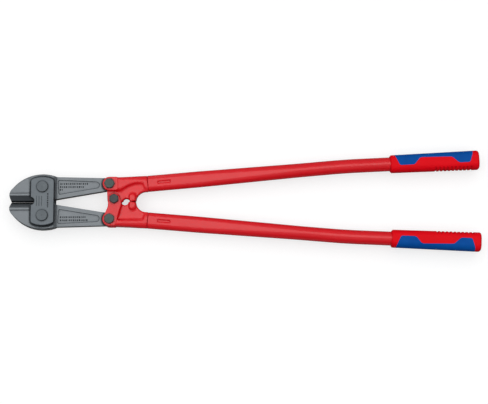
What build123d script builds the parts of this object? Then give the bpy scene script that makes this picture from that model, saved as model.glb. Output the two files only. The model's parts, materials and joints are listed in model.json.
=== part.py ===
from build123d import *
from math import atan2, cos, radians, sin, sqrt, tan
import os

# Bolt cutters, closed and lying on their back. Lengths are in millimetres.
# The model is built about the middle of the head: X runs from the jaws to the handles,
# Y across the tool, Z through its thickness. The upper lever is on the +Y side.
# At the end everything is moved so that the origin is under the middle of the tool,
# on the surface that it lies on.

# ---------------------------------------------------------------- driving dimensions
# Pivots
jaw_pivot_y = 28.0          # jaw bolt to the tool's centre line
link_x = 129.0              # jaw bolts to link bolts, along the tool
link_y = 34.5               # link bolt to the centre line
centre_bolt_dx = 9.0        # centre bolt beyond the link bolts
centre_bolt_y = 4.5         # centre bolt above the centre line

# Thickness of the layers, from the middle plane outwards
jaw_half = 12.0             # jaw at the head
tail_half = 8.0             # jaw tail
web_half = 7.0              # lever web
fork_wall = 7.0             # each cheek of a lever's fork
strap_thickness = 8.6       # head plate

# Clearances
closed_gap = 0.3            # between the two halves that meet on the centre line
strap_gap = 0.2             # jaw to head plate
fork_gap = 0.25             # jaw tail to the cheek beside it
boss_gap = 0.35             # upper lever's boss to the cheeks beside it
lug_gap = 0.5               # jaw tail to the bottom of the fork
running_fit = 0.05          # bolt in a hole, on the radius
thread_fit = 0.02           # nut on a bolt, on the radius
tube_fit = 0.1              # tang in its tube
grip_fit = 0.05             # tube in its grip

# Jaws
blade_length = 64.4         # jaw bolt to the front of the jaw
blade_setback = 2.9         # the cutting edge starts this far behind the front
nose_low = 10.0             # the bevelled front ends here, above the centre line
nose_bow = (0.7, 18.0)      # behind the front, and above the centre line, half way up the nose
nose_run = 6.0              # the nose meets the round back this far behind the front
nose_round = 4.0
jaw_back_radius = 75.6      # round back of the jaw
jaw_back_height = 53.6      # top of that back above the centre line
jaw_back_edge = 1.5         # rounding of its edges
thick_end = 21.0            # the full thickness ends here, behind the jaw bolts
thick_slope = 6.0           # and slopes down to the tail over this length
lug_radius = 11.6           # end of the tail round the link bolt
tail_start_gap = 1.2        # inner edge of the tail above the centre line, at the jaw bolts
bevel_start = -14.0         # back end of the cutting edge
edge_flat = 0.3             # half thickness of the cutting edge
inner_bevel = (5.5, 7.5)    # height and half thickness where the two bevels meet
outer_bevel = 11.2          # height at which the outer bevel reaches the face
land_width = 5.2            # raised land beside the bevel
land_height = 1.2
land_gap = 0.6              # between the land and the head plate
land_edge = 0.9
gear_radius = 5.0           # round tooth of the upper jaw
gear_gap = 0.35
panel_depth = 1.0           # recessed panel of the tail
panel_start = 28.3
panel_top = 43.0
panel_bottom = 14.2
panel_lean = 1.5            # its lower corner stands this much further back
panel_corner = 3.0
panel_end_radius = 6.8
panel_end_x = 103.0
panel_end_y = 32.8

# Head plates
strap_width = 45.0
strap_radius = 47.5
strap_notch_radius = 7.0
strap_corner = 6.0
strap_edge = 1.5            # rounding of its outer edge, and of the ends of the notch

# Bolts and nuts
jaw_bolt_radius = 7.0
jaw_bolt_head_radius = 10.7
jaw_bolt_head_height = 3.7
jaw_bolt_head_edge = 0.8
jaw_nut_flats = 21.0
jaw_nut_height = 6.6
link_bolt_radius = 6.0
link_bolt_flats = 18.0
link_bolt_corner = 19.8     # across the rounded corners of the head
link_bolt_head_height = 5.0
link_nut_flats = 18.0
link_nut_height = 6.5
centre_bolt_radius = 5.0
centre_bolt_flats = 16.5
centre_bolt_corner = 18.6
centre_bolt_head_height = 5.6
centre_nut_flats = 16.5
centre_nut_height = 5.5
hex_top_inset = 0.5         # the round top of a hexagon is this far inside its flats
nut_corner_share = 0.97     # corners of a nut, rounded to this share of a full hexagon
bush_wall = 1.4             # thinnest wall of the adjusting bush
bush_throw = 0.5            # its hole is this far off centre
bolt_end = 0.8              # a bolt reaches this far past its nut, less its chamfer
centre_mark_radius = 1.2    # dimple in the middle of a bolt head
centre_mark_depth = 0.6

# Levers, measured along X from the link bolts
pad_radius = 13.5           # round end of a fork
cheek_radius = 12.1         # round end of the lower lever's fork, at the centre bolt
boss_radius = 13.6          # upper lever's boss, between those cheeks
pad_end = 16.0              # flat end of the upper lever's fork
pad_end_corner = 2.0
fork_edge = 1.2             # rounding of the forks' outer edges
neck_start = 11.0
neck_half = 14.2            # half thickness of the neck at the fork
neck_corner = 5.0           # rounding along the neck at the fork
neck_inset = 0.3            # the neck starts this far inside the fork's outline
recess_end = 66.0           # right wall of the recess, on the axis of the tube
recess_lean = (1.5, 4.0)    # that wall leans back at its top and forward at its foot
recess_top = 36.0           # top of the recess above the centre line
recess_corner = 3.0
lower_recess_start = 10.0
upper_recess_start = 17.0   # the upper lever's recess starts under a round step
upper_step_bow = (32.5, 29.0)
upper_step_end = 52.0
recess_under = 4.0          # a recess reaches this far below the fork
hole_dx = 31.0              # through hole in the web
hole_length = 13.2
hole_half = 6.6
hole_skew = 1.2             # its half in each lever is this far off
stop_dx = 37.4              # stop block
stop_width = 13.3
stop_height = 15.5
stop_half = 12.5
stop_corner = 4.5
stop_edge = 3.0
boss_lean = 1.4             # left side of the boss, between the centre bolt and the link bolt
shoulder = (15.2, -9.0)     # right side of the lower cheeks, from the centre bolt
shoulder_round = 6.0
waist = (0.4, -14.0)        # left side of the lower cheeks, from their round end
waist_round = 20.0
heel = 11.0                 # flat foot of the lower cheeks ends here
throat_dx = 71.0            # round opening between the arms
throat_radius = 20.0
tube_dx = 74.0              # start of the handle tubes
tang_length = 55.0
# The loop of levers is open at the centre bolt: the bolt moves this much in the upper
# lever's boss, forwards, backwards and sideways.
open_pivot_up = 3.7
open_pivot_down = 1.45
open_pivot_side = 0.95

# Handle tubes
tube_width = 31.5           # flattened part
tube_thickness = 20.0
tube_diameter = 27.0        # round part
tube_wall = 3.0
tube_root_y = 35.95         # axis of the tube at its start, above the centre line
tube_angle = 4.95           # degrees, first stretch
grip_angle = 2.54           # degrees, second stretch
flat_length = 97.0          # flattened stretch
taper_length = 200.0        # from flattened to round
straight_length = 383.0     # start of the tube to the bend
bend_radius = 1600.0
bend_to_end = 261.5         # bend to the end of the grip
dimple_dx = 31.0            # crimp, from the start of the tube
dimple_length = 32.0
dimple_width = 7.5
dimple_depth = 2.0
dimple_room = 5.0           # the tang's pocket is this much longer and wider

# Grips
grip_length = 173.5
grip_front = (34.0, 30.0)   # width and thickness
grip_rear = (37.0, 33.0)
grip_corner = 12.0
grip_end_wall = 5.0
grip_end_round = 5.0
collar_chamfer = 2.5
inlay_depth = 1.6
# Edge of the inlay: from the front of the grip, and outwards from the grip's axis
front_pad_edge = [(12.0, 17.0), (22.0, 5.5), (25.0, 4.8), (46.0, 4.8), (49.0, 6.0)]
strip_edge = [(60.0, 12.5), (64.0, 13.2), (116.0, 13.2), (120.0, 12.4)]
rear_pad_edge = [(130.0, 6.5), (134.0, 5.8), (147.0, 5.8), (151.0, 8.0), (154.5, 14.0)]
rib_count = 10
rib_pitch = 7.3
rib_first = 76.0            # first rib, from the front of the grip
rib_depth = 0.8
rib_width = 14.0            # through the thickness

# ---------------------------------------------------------------- derived values
parting = closed_gap / 2
fork_low = tail_half + fork_gap
fork_high = fork_low + fork_wall
boss_half = fork_low - boss_gap
strap_low = jaw_half + strap_gap
strap_high = strap_low + strap_thickness
centre_x = link_x + centre_bolt_dx
centre_point = (centre_x, centre_bolt_y)
pad_lower = link_y - pad_radius
tube_x = link_x + tube_dx
bush_radius = centre_bolt_radius + bush_throw + bush_wall
open_pivot_reach = boss_radius + open_pivot_up + boss_gap
through = 100.0             # more than any half thickness or half width: a cut goes right through
on_base = (Align.CENTER, Align.CENTER, Align.MIN)


def prism(face, half):
    """A flat outline given the thickness 2 x half about the middle plane."""
    return extrude(face, amount=half, both=True)


def slabs(face, low, high):
    """The same outline on both sides of the middle plane, from low to high."""
    front = Pos(0, 0, low) * extrude(face, amount=high - low)
    return front + mirror(front, about=Plane.XY)


def outline(*edges):
    """A face from edges that follow one another."""
    return make_face(Wire(list(edges)))


def polygon(*points):
    """A face with straight sides."""
    return make_face(Polyline(*points, close=True))


def standing(section, x=0.0, y=0.0, turn=0.0):
    """Stands a section up at (x, y), across the direction turn."""
    return Pos(x, y, 0) * Rot(0, 0, turn) * (Plane.YZ * section)


def disc(centre, radius):
    return Pos(*centre) * Circle(radius)


def bore(centre, radius):
    """A long cylinder through all the layers."""
    return Pos(*centre) * Cylinder(radius, 2 * through)


def other_side(part):
    return mirror(part, about=Plane.XZ)


def tail_slope(gap):
    """Angle of the line from the jaw bolts that touches the lug from below."""
    span = sqrt(link_x ** 2 + (link_y - gap) ** 2)
    return atan2(link_y - gap, link_x) - atan2(lug_radius, sqrt(span ** 2 - lug_radius ** 2))


# ---------------------------------------------------------------- jaws
def jaw_outline():
    """The jaw seen from the front: blade, round back, tail and lug."""
    back_centre = jaw_back_height - jaw_back_radius
    front = -blade_length
    nose_x = front + nose_run
    nose_y = back_centre + sqrt(jaw_back_radius ** 2 - nose_x ** 2)
    back_x = thick_end + thick_slope
    back_y = back_centre + sqrt(jaw_back_radius ** 2 - back_x ** 2)
    slope = tail_slope(tail_start_gap)
    corner = (front, nose_low)
    heel_x = gear_radius + 1
    heel_point = (heel_x, tail_start_gap + heel_x * tan(slope))
    lug_low = (link_x + lug_radius * sin(slope), link_y - lug_radius * cos(slope))
    lug_top = (link_x, link_y + lug_radius)
    face = outline(
        Line((0, parting), (front + blade_setback, parting)),
        Line((front + blade_setback, parting), corner),
        ThreePointArc(corner, (front + nose_bow[0], nose_bow[1]), (nose_x, nose_y)),
        ThreePointArc((nose_x, nose_y), (0, jaw_back_height), (back_x, back_y)),
        Line((back_x, back_y), lug_top),
        ThreePointArc(lug_top, (link_x + lug_radius, link_y), lug_low),
        Line(lug_low, heel_point),
        Line(heel_point, (0, parting)),
    )
    return fillet(face.vertices().sort_by_distance(Vertex(*corner))[0], nose_round)


def bevel_cutter():
    """Both bevels of the cutting edge, on the front side."""
    low, mid = inner_bevel
    above = jaw_half + 2 * land_height
    section = polygon(
        (-low, edge_flat), (parting, edge_flat), (low, mid), (outer_bevel, jaw_half),
        (outer_bevel, above), (-low, above))
    return extrude(standing(section, bevel_start), amount=-blade_length)


def tail_panel():
    """Outline of the recessed panel of the tail: three rounded corners."""
    corners = [
        ((panel_start + panel_corner, panel_top - panel_corner), panel_corner),
        ((panel_start + panel_corner + panel_lean, panel_bottom + panel_corner), panel_corner),
        ((panel_end_x, panel_end_y), panel_end_radius),
    ]
    edges = []
    for centre, radius in corners:
        edges += disc(centre, radius).edges()
    return make_hull(edges)


def make_land():
    """Raised land beside the bevel, on both faces, kept within the jaw's outline."""
    length = blade_length - strap_width / 2 - land_gap
    middle = (-blade_length - strap_width / 2 - land_gap) / 2
    land = Pos(middle, outer_bevel + land_width / 2, 0) * Rectangle(length, land_width)
    top = jaw_half + land_height
    rib = slabs(land & jaw_outline(), jaw_half - land_height, top)
    upper = [e for e in rib.edges() if abs(abs(e.center().Z) - top) < 0.01]
    return fillet([e for e in upper if e.length > 2 * land_width], land_edge)


def upper_jaw_body():
    profile = jaw_outline()
    body = prism(profile, jaw_half)
    behind = Plane.XZ * polygon(
        (thick_end, jaw_half), (thick_end + thick_slope, tail_half), (2 * link_x, tail_half),
        (2 * link_x, 2 * jaw_half), (thick_end, 2 * jaw_half))
    thinning = extrude(behind, amount=2 * jaw_back_height, both=True)
    body -= thinning + mirror(thinning, about=Plane.XY)
    back_edges = [e for e in body.edges() if e.length > jaw_back_height - parting
                  and e.center().Y > jaw_back_height / 2 and e.center().X < thick_end]
    body = fillet(back_edges, jaw_back_edge)
    body += make_land()
    cutter = bevel_cutter()
    body -= cutter + mirror(cutter, about=Plane.XY)
    body -= slabs(tail_panel(), tail_half - panel_depth, jaw_half)
    body -= bore((0, jaw_pivot_y), jaw_bolt_radius + running_fit)
    body -= bore((link_x, link_y), link_bolt_radius + running_fit)
    return body


def make_jaws():
    plain = upper_jaw_body()
    tooth = prism(disc((0, 0), gear_radius), jaw_half)
    notch = prism(disc((0, 0), gear_radius + gear_gap), through)
    return plain + tooth, other_side(plain) - notch


# ---------------------------------------------------------------- head plates
def make_strap():
    """Front head plate; the back one is its mirror image."""
    plate = Rectangle(strap_width, 2 * strap_radius) & Circle(strap_radius)
    plate = fillet(plate.vertices(), strap_corner)
    notch = disc((-strap_width / 2, 0), strap_notch_radius)
    plate -= notch
    sharp = [v for v in plate.vertices() if abs(v.X + strap_width / 2) < 0.01
             and abs(abs(v.Y) - strap_notch_radius) < 0.01]
    plate = fillet(sharp, strap_edge)
    body = Pos(0, 0, strap_low) * extrude(plate, amount=strap_thickness)
    body = fillet(body.faces().sort_by(Axis.Z)[-1].outer_wire().edges(), strap_edge)
    for y in (jaw_pivot_y, -jaw_pivot_y):
        body -= bore((0, y), jaw_bolt_radius + running_fit)
    return body


# ---------------------------------------------------------------- bolts and nuts
def hex_prism(flats, corner, height, turn):
    """A hexagon with its corners rounded to the diameter corner and a 30 degree chamfer on top."""
    section = Rot(0, 0, turn) * RegularPolygon(flats / 2, 6, major_radius=False)
    body = extrude(section, amount=height)
    top = flats / 2 - hex_top_inset
    cone = Cone(top + height / tan(radians(30)), top, height, align=on_base)
    return body & Cylinder(corner / 2, height, align=on_base) & cone


def make_bolt(point, radius, head, head_height, seat, reach):
    """A bolt with its head on the front and its shank through to z = -reach."""
    shank = Pos(0, 0, -reach) * Cylinder(radius, reach + seat, align=on_base)
    shank = chamfer(shank.faces().sort_by(Axis.Z)[0].edges(), bolt_end)
    body = Pos(0, 0, seat) * head + shank
    mark = Pos(0, 0, seat + head_height) * Cone(0.1, centre_mark_radius, 2 * centre_mark_depth)
    return Pos(*point) * (body - mark)


def make_nut(point, flats, height, radius, seat):
    """A hexagon nut under the back cheek, bored to fit its bolt."""
    corner = flats / cos(radians(30))
    body = hex_prism(flats, corner * nut_corner_share, height, 0)
    body = Pos(0, 0, -seat) * mirror(body, about=Plane.XY)
    return Pos(*point) * body - bore(point, radius + thread_fit)


def make_jaw_bolt(point):
    head = Cylinder(jaw_bolt_head_radius, jaw_bolt_head_height, align=on_base)
    head = fillet(head.faces().sort_by(Axis.Z)[-1].edges(), jaw_bolt_head_edge)
    reach = strap_high + jaw_nut_height + bolt_end
    return make_bolt(point, jaw_bolt_radius, head, jaw_bolt_head_height, strap_high, reach)


def make_link_bolt(point, turn):
    head = hex_prism(link_bolt_flats, link_bolt_corner, link_bolt_head_height, turn)
    reach = fork_high + link_nut_height + bolt_end
    return make_bolt(point, link_bolt_radius, head, link_bolt_head_height, fork_high, reach)


def make_centre_bolt():
    head = hex_prism(centre_bolt_flats, centre_bolt_corner, centre_bolt_head_height, 30)
    reach = fork_high + centre_nut_height + bolt_end
    height = centre_bolt_head_height
    return make_bolt(centre_point, centre_bolt_radius, head, height, fork_high, reach)


def make_bush():
    """Eccentric bush on the centre bolt, between the lower lever's cheeks."""
    body = prism(disc((centre_x, centre_bolt_y + bush_throw), bush_radius), boss_half)
    return body - bore(centre_point, centre_bolt_radius + running_fit)


# ---------------------------------------------------------------- levers
def rounded(width, thickness):
    """Section of a tube or neck: width across the tool, thickness through it."""
    return RectangleRounded(width, thickness, min(width, thickness) / 2 - 0.1)


def arm(recess):
    """What both levers share, on the +Y side: neck, web and stop block."""
    neck_x = link_x + neck_start
    outer_y = link_y + pad_radius - neck_inset
    root = RectangleRounded(outer_y - pad_lower, 2 * neck_half, neck_corner)
    neck = loft([
        standing(root, neck_x, (outer_y + pad_lower) / 2),
        standing(rounded(tube_width, tube_thickness), tube_x, tube_root_y, tube_angle),
    ])
    throat_x = link_x + throat_dx
    shade = neck_half / 2
    web = polygon(
        (centre_x, parting), (tube_x, parting), (tube_x, recess_top), (link_x + hole_dx, outer_y - shade),
        (centre_x, outer_y - shade), (centre_x, pad_lower))
    open_end = Pos(throat_x + through / 2, 0) * Rectangle(through, 2 * throat_radius)
    web -= disc((throat_x, 0), throat_radius) + open_end
    body = neck - slabs(recess, web_half, through) + prism(web, web_half)
    stop = Pos(link_x + stop_dx + stop_width / 2, 0) * Rectangle(stop_width, 2 * stop_height)
    stop = prism(fillet(stop.vertices(), stop_corner), stop_half)
    stop = fillet([e for e in stop.edges() if abs(abs(e.center().Z) - stop_half) < 0.01], stop_edge)
    upper_half = Pos(centre_x, through + parting, 0) * Box(2 * through, 2 * through, 2 * through)
    return body + (stop & upper_half)


def recess_wall():
    """Right end of the recess, from its top corner down past the neck."""
    x = link_x + recess_end
    top = (x - recess_lean[0], recess_top)
    low = (x + recess_lean[1], pad_lower - recess_under)
    return top, low


def upper_recess():
    """Space over the upper web, under a round step in the neck."""
    top, low = recess_wall()
    start = (link_x + upper_recess_start, pad_lower - recess_under)
    bow = (link_x + upper_step_bow[0], upper_step_bow[1])
    end = (link_x + upper_step_end, recess_top)
    face = outline(ThreePointArc(start, bow, end), Line(end, top), Line(top, low), Line(low, start))
    return fillet(face.vertices().sort_by_distance(Vertex(*top))[0], recess_corner)


def lower_recess():
    """Space over the lower web, square at its left end."""
    top, low = recess_wall()
    left = link_x + lower_recess_start
    face = polygon((left, pad_lower - recess_under), (left, recess_top), top, low)
    return fillet(face.vertices().sort_by_distance(Vertex(*top))[0], recess_corner)


def tang():
    """End of the lever inside its tube, with a pocket on each side for the crimp."""
    width = tube_width - 2 * tube_wall - 2 * tube_fit
    thickness = tube_thickness - 2 * tube_wall - 2 * tube_fit
    bar = extrude(standing(rounded(width, thickness)), amount=tang_length)
    pocket = Pos(dimple_dx, 0) * SlotOverall(dimple_length + dimple_room, dimple_width + dimple_room)
    bar -= slabs(pocket, thickness / 2 - dimple_depth - tube_fit, thickness)
    return on_tube(bar)


def on_tube(part):
    """Moves what is built along X onto the axis of the upper tube."""
    return Pos(tube_x, tube_root_y, 0) * Rot(0, 0, tube_angle) * part


def web_hole(skew):
    return Pos(link_x + hole_dx + skew, 0) * SlotOverall(hole_length, 2 * hole_half)


def fork_slot(side_y):
    """Space for a jaw tail that swings in the fork at (link_x, side_y), side_y above zero."""
    slope = tail_slope(tail_start_gap)
    reach = lug_radius + lug_gap
    under = side_y - reach / cos(slope)
    run = 2 * pad_radius
    right = link_x + neck_start
    tail = polygon(
        (link_x - run, under - run * tan(slope)), (link_x, under), (link_x, side_y), (right, side_y),
        (right, side_y + run), (link_x - run, side_y + run))
    return tail + disc((link_x, side_y), reach)


def make_upper_lever():
    pad = disc((link_x, link_y), pad_radius) + polygon(
        (link_x, pad_lower), (link_x + pad_end, pad_lower), (link_x + pad_end, link_y + pad_radius),
        (link_x, link_y + pad_radius))
    pad = fillet(pad.vertices().sort_by(Axis.X)[-2:], pad_end_corner)
    body = prism(pad, fork_high)
    body = fillet([e for e in body.edges() if abs(abs(e.center().Z) - fork_high) < 0.01], fork_edge)
    boss_left = centre_x - boss_radius
    boss = disc(centre_point, boss_radius) + polygon(
        (boss_left, centre_bolt_y), (boss_left - boss_lean, link_y), (neck_start + link_x, link_y),
        (neck_start + link_x, centre_bolt_y))
    body += arm(upper_recess()) + prism(boss, boss_half)
    body -= prism(fork_slot(link_y), fork_low)
    under = Pos(link_x, parting - through) * Rectangle(4 * through, 2 * through)
    body -= prism(under - disc(centre_point, boss_radius), through)
    body -= prism(web_hole(hole_skew), through)
    pivot_path = Pos(centre_x, centre_bolt_y + (open_pivot_up - open_pivot_down) / 2) * Rot(0, 0, 90)
    reach = bush_radius + open_pivot_side + boss_gap
    body -= prism(pivot_path * SlotCenterToCenter(open_pivot_up + open_pivot_down, 2 * reach), through)
    body -= bore((link_x, link_y), link_bolt_radius + running_fit)
    return body + tang()


def cheek_outline():
    """Fork of the lower lever: from the link bolt up to the centre bolt."""
    turn = radians(20)
    touch = (centre_x + cheek_radius * cos(turn), centre_bolt_y + cheek_radius * sin(turn))
    right = (centre_x + shoulder[0], centre_bolt_y + shoulder[1])
    left = (centre_x - cheek_radius + waist[0], centre_bolt_y + waist[1])
    foot = -link_y - pad_radius
    hip = pad_radius * cos(radians(45))
    face = polygon(
        centre_point, touch, right, (link_x + heel, foot), (link_x, foot), (link_x, -link_y),
        (link_x - hip, -link_y + hip), left, (centre_x - cheek_radius, centre_bolt_y))
    face += disc(centre_point, cheek_radius) + disc((link_x, -link_y), pad_radius)
    for point, radius in ((right, shoulder_round), (left, waist_round)):
        face = fillet(face.vertices().sort_by_distance(Vertex(*point))[0], radius)
    return face


def make_lower_lever():
    """Built on the -Y side: two cheeks from the link bolt up to the centre bolt."""
    body = prism(cheek_outline(), fork_high)
    body = fillet([e for e in body.edges() if abs(abs(e.center().Z) - fork_high) < 0.01], fork_edge)
    body += other_side(arm(lower_recess()))
    left = link_x - 2 * pad_radius
    right = link_x + neck_start + lug_gap
    slot = other_side(fork_slot(link_y)) + disc(centre_point, open_pivot_reach)
    slot += polygon(
        (left, -link_y), (right, -link_y), (right, centre_bolt_y),
        (centre_x, centre_bolt_y + open_pivot_reach), (left, centre_bolt_y + open_pivot_reach))
    body -= prism(slot, fork_low)
    body -= prism(web_hole(-hole_skew), through)
    body -= bore(centre_point, centre_bolt_radius + running_fit)
    body -= bore((link_x, -link_y), link_bolt_radius + running_fit)
    return body + other_side(tang())


# ---------------------------------------------------------------- handle tubes
def tube_solid(inset):
    """Outside of the upper tube, or its inside when inset by the wall."""
    flat = rounded(tube_width - 2 * inset, tube_thickness - 2 * inset)
    rounder = rounded(tube_diameter - 2 * inset, tube_diameter - 2 * inset)
    turn = tube_angle - grip_angle
    tangent = bend_radius * tan(radians(turn) / 2)
    taper_end = flat_length + taper_length
    bend_start = straight_length - tangent
    centre = Axis((bend_start, -bend_radius, 0), (0, 0, -1))
    root = extrude(standing(flat), amount=flat_length)
    taper = loft([standing(flat, flat_length), standing(rounder, taper_end)])
    first = extrude(standing(rounder, taper_end), amount=bend_start - taper_end)
    bend = revolve(standing(rounder, bend_start), centre, revolution_arc=turn)
    second = extrude(standing(rounder), amount=bend_to_end - grip_end_wall - tangent)
    after = Pos(straight_length, 0, 0) * Rot(0, 0, -turn) * Pos(tangent, 0, 0)
    rest = first + bend + after * second
    return root + taper + rest


def make_tube():
    """Upper tube, pressed in on both faces where it grips the tang."""
    outside = tube_solid(0)
    inside = tube_solid(tube_wall)
    half = tube_thickness / 2
    wall = 2 * dimple_depth
    bump = Pos(dimple_dx, 0) * SlotOverall(dimple_length + wall, dimple_width + wall)
    inside -= slabs(bump, half - tube_wall - dimple_depth, half)
    dimple = Pos(dimple_dx, 0) * SlotOverall(dimple_length, dimple_width)
    outside -= slabs(dimple, half - dimple_depth, 2 * half)
    return on_tube(outside - inside)


# ---------------------------------------------------------------- grips
def on_grip(part):
    """Moves what is built along X, from the front of the grip, onto the grip's axis."""
    along = Pos(straight_length, 0, 0) * Rot(0, 0, grip_angle - tube_angle)
    return on_tube(along * Pos(bend_to_end - grip_length, 0, 0) * part)


def grip_solid(inset):
    front = RectangleRounded(grip_front[0] - 2 * inset, grip_front[1] - 2 * inset, grip_corner - inset)
    rear = RectangleRounded(grip_rear[0] - 2 * inset, grip_rear[1] - 2 * inset, grip_corner - inset)
    return loft([standing(front), standing(rear, grip_length)])


def inlay_outline():
    """The blue inlay on the outer side: two wide pads joined by a strip."""
    far = grip_rear[0]
    edge = front_pad_edge + strip_edge + rear_pad_edge
    return polygon((edge[0][0], far), *edge, (edge[-1][0], far))


def make_grip():
    """Upper grip and its inlay."""
    body = grip_solid(0)
    body = fillet(body.faces().sort_by(Axis.X)[-1].edges(), grip_end_round)
    body = chamfer(body.faces().sort_by(Axis.X)[0].edges(), collar_chamfer)
    shell = body - grip_solid(inlay_depth)
    inlay = shell & prism(inlay_outline(), through)
    bore_width = tube_diameter + 2 * grip_fit
    bore_section = standing(rounded(bore_width, bore_width))
    body -= extrude(bore_section, amount=grip_length - grip_end_wall + grip_fit)
    body -= inlay
    for n in range(rib_count):
        x = rib_first + n * rib_pitch
        inner = -(grip_front[0] + (grip_rear[0] - grip_front[0]) * x / grip_length) / 2
        body -= Pos(x, inner, 0) * Box(rib_pitch / 2, 2 * rib_depth, rib_width)
    return on_grip(body), on_grip(inlay)


# ---------------------------------------------------------------- the assembly
upper_jaw, lower_jaw = make_jaws()
strap = make_strap()
tube = make_tube()
grip, inlay = make_grip()
upper_jaw_point = (0, jaw_pivot_y)
lower_jaw_point = (0, -jaw_pivot_y)
upper_link_point = (link_x, link_y)
lower_link_point = (link_x, -link_y)
jaw_nut = (jaw_nut_flats, jaw_nut_height, jaw_bolt_radius, strap_high)
link_nut = (link_nut_flats, link_nut_height, link_bolt_radius, fork_high)
centre_nut = (centre_nut_flats, centre_nut_height, centre_bolt_radius, fork_high)

parts = {
    "front_head_plate": strap,
    "back_head_plate": mirror(strap, about=Plane.XY),
    "upper_jaw": upper_jaw,
    "lower_jaw": lower_jaw,
    "upper_jaw_bolt": make_jaw_bolt(upper_jaw_point),
    "lower_jaw_bolt": make_jaw_bolt(lower_jaw_point),
    "upper_jaw_nut": make_nut(upper_jaw_point, *jaw_nut),
    "lower_jaw_nut": make_nut(lower_jaw_point, *jaw_nut),
    "upper_lever": make_upper_lever(),
    "lower_lever": make_lower_lever(),
    "upper_link_bolt": make_link_bolt(upper_link_point, 0),
    "lower_link_bolt": make_link_bolt(lower_link_point, 30),
    "upper_link_nut": make_nut(upper_link_point, *link_nut),
    "lower_link_nut": make_nut(lower_link_point, *link_nut),
    "centre_pivot_bolt": make_centre_bolt(),
    "centre_pivot_nut": make_nut(centre_point, *centre_nut),
    "centre_adjusting_bush": make_bush(),
    "upper_handle_tube": tube,
    "lower_handle_tube": other_side(tube),
    "upper_grip": grip,
    "lower_grip": other_side(grip),
    "upper_grip_inlay": inlay,
    "lower_grip_inlay": other_side(inlay),
}

# The origin goes under the middle of the tool, on the surface that it lies on.
box = Compound(children=[Compound(part.wrapped) for part in parts.values()]).bounding_box()
shift = Pos(-(box.min.X + box.max.X) / 2, -(box.min.Y + box.max.Y) / 2, -box.min.Z)
print("moved by", shift.position)
os.makedirs("parts", exist_ok=True)
for name, part in parts.items():
    export_step(shift * part, f"parts/{name}.step")
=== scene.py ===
import json
from math import cos, pi, radians, sin, tan

import bmesh
import bpy
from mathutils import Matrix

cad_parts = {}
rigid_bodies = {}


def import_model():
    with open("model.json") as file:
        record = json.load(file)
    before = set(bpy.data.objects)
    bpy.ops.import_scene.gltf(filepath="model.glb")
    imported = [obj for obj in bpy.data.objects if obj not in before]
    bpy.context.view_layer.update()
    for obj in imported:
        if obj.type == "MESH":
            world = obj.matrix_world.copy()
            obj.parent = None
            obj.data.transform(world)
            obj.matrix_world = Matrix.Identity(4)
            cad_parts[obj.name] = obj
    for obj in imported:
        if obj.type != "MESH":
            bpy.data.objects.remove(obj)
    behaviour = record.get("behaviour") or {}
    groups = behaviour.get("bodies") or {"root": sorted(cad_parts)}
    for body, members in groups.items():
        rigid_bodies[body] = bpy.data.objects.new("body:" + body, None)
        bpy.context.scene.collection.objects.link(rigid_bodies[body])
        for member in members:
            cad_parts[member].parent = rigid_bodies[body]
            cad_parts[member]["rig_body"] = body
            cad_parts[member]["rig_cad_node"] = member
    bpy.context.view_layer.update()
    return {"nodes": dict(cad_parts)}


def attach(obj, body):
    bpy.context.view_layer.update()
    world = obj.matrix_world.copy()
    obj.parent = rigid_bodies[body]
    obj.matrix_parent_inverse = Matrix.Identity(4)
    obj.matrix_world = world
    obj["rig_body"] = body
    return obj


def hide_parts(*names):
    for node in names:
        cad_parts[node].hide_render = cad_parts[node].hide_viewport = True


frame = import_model()
bpy.ops.object.select_all(action="DESELECT")

# ------------------------------------------------------------------ stage
# The tool lies closed on a pale studio floor, seen almost from straight above. A wide softbox
# lights it, a narrower strip light gives the gloss along the tubes, and a small card stands
# beyond the head, so that the ground faces of the jaws catch some light.
MM = 0.001
MIDDLE = 28.2 * MM                    # middle plane of the tool above the floor
VIEW_DISTANCE = 3.0
VIEW_TILT = 9.0                       # degrees from straight down
VIEW_ROLL = -0.2                      # degrees, handles up
VIEW_WIDTH = 0.9462                   # at the middle plane
VIEW_CENTRE = (-0.0021, -0.0003)
SENSOR = 36.0
FLOOR_SIZE = 14.0
FLOOR_TONES = (0.40, 0.42)
FLOOR_GLOW = 0.66
FLOOR_DIM = (0.26, 0.26, 0.26, 1)     # what the floor throws back onto the tool
WHITE = (1, 1, 1, 1)


def add_node(tree, kind, inputs=None, **settings):
    """Adds a node, with its settings, and sets or joins its inputs."""
    made = tree.nodes.new(kind)
    for key, value in settings.items():
        setattr(made, key, value)
    for key, value in (inputs or {}).items():
        if isinstance(value, bpy.types.NodeSocket):
            tree.links.new(value, made.inputs[key])
        else:
            made.inputs[key].default_value = value
    return made


bpy.ops.mesh.primitive_plane_add(size=FLOOR_SIZE)
floor = bpy.context.object
floor.name = "studio_floor"
bpy.ops.object.mode_set(mode="EDIT")
bpy.ops.mesh.subdivide(number_cuts=3)
bpy.ops.object.mode_set(mode="OBJECT")
floor_paint = bpy.data.materials.new("floor_paint")
floor_paint.use_nodes = True
tree = floor_paint.node_tree
tree.nodes.clear()
place = add_node(tree, "ShaderNodeTexCoord").outputs["Object"]
cloud = add_node(tree, "ShaderNodeTexNoise", {"Vector": place, "Scale": 1.5, "Detail": 3.0})
tone = add_node(tree, "ShaderNodeMapRange", {
    "Value": cloud.outputs["Fac"], "To Min": FLOOR_TONES[0], "To Max": FLOOR_TONES[1]})
seen = add_node(tree, "ShaderNodeBsdfDiffuse", {"Color": tone.outputs["Result"]})
glow = add_node(tree, "ShaderNodeEmission", {"Color": WHITE, "Strength": FLOOR_GLOW})
both = add_node(tree, "ShaderNodeAddShader", {0: seen.outputs[0], 1: glow.outputs[0]})
dim = add_node(tree, "ShaderNodeBsdfDiffuse", {"Color": FLOOR_DIM})
ray = add_node(tree, "ShaderNodeLightPath")
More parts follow.
